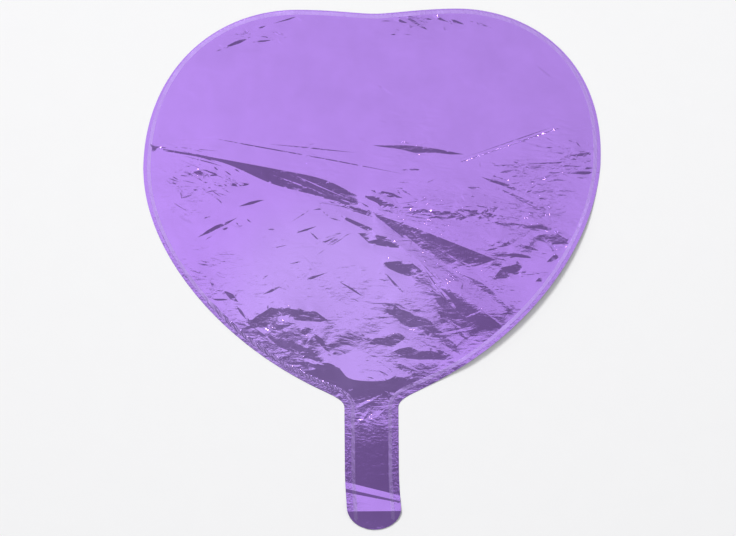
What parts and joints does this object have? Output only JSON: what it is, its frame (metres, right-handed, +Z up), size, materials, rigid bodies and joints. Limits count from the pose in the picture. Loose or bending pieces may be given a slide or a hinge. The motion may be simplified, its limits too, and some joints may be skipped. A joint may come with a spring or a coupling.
{
  "type": "foil balloon",
  "caption": "Heart-shaped foil balloon lying flat and unfilled: two film sheets welded inside their edge, with a filling tail that holds a flat self-sealing valve.",
  "frame": {"origin": "centre of the flat outline's box, on the surface the balloon lies on", "axes": "+Z up, away from the surface; +Y from the filling tail to the notch between the lobes; +X to the right seen from above"},
  "size_m": [0.457, 0.52, 0.006],
  "materials": {
    "foil": "gloss",
    "foil_back": "gloss",
    "weld": "satin",
    "clear_film": "gloss",
    "clear_seam": "satin",
    "release_ink": "matte"
  },
  "bodies": {
    "heart": {"front_panel": "foil", "back_panel": "foil_back", "edge_seal": "weld", "valve_front_film": "clear_film", "valve_back_film": "clear_film", "valve_seam_left": "clear_seam", "valve_seam_right": "clear_seam", "valve_release_print": "release_ink"},
    "tail": {"tail_front_film": "foil", "tail_back_film": "foil_back", "tail_seal_left": "weld", "tail_seal_right": "weld", "valve_inlet_front_film": "clear_film", "valve_inlet_back_film": "clear_film", "valve_inlet_seam_left": "clear_seam", "valve_inlet_seam_right": "clear_seam"}
  },
  "joints": [
    {"name": "tail_fold", "type": "hinge", "parent": "heart", "child": "tail", "pos_m": [0, -0.1375, 0.0015], "axis": [-1, 0, 0], "range_deg": [0, 160]}
  ]
}
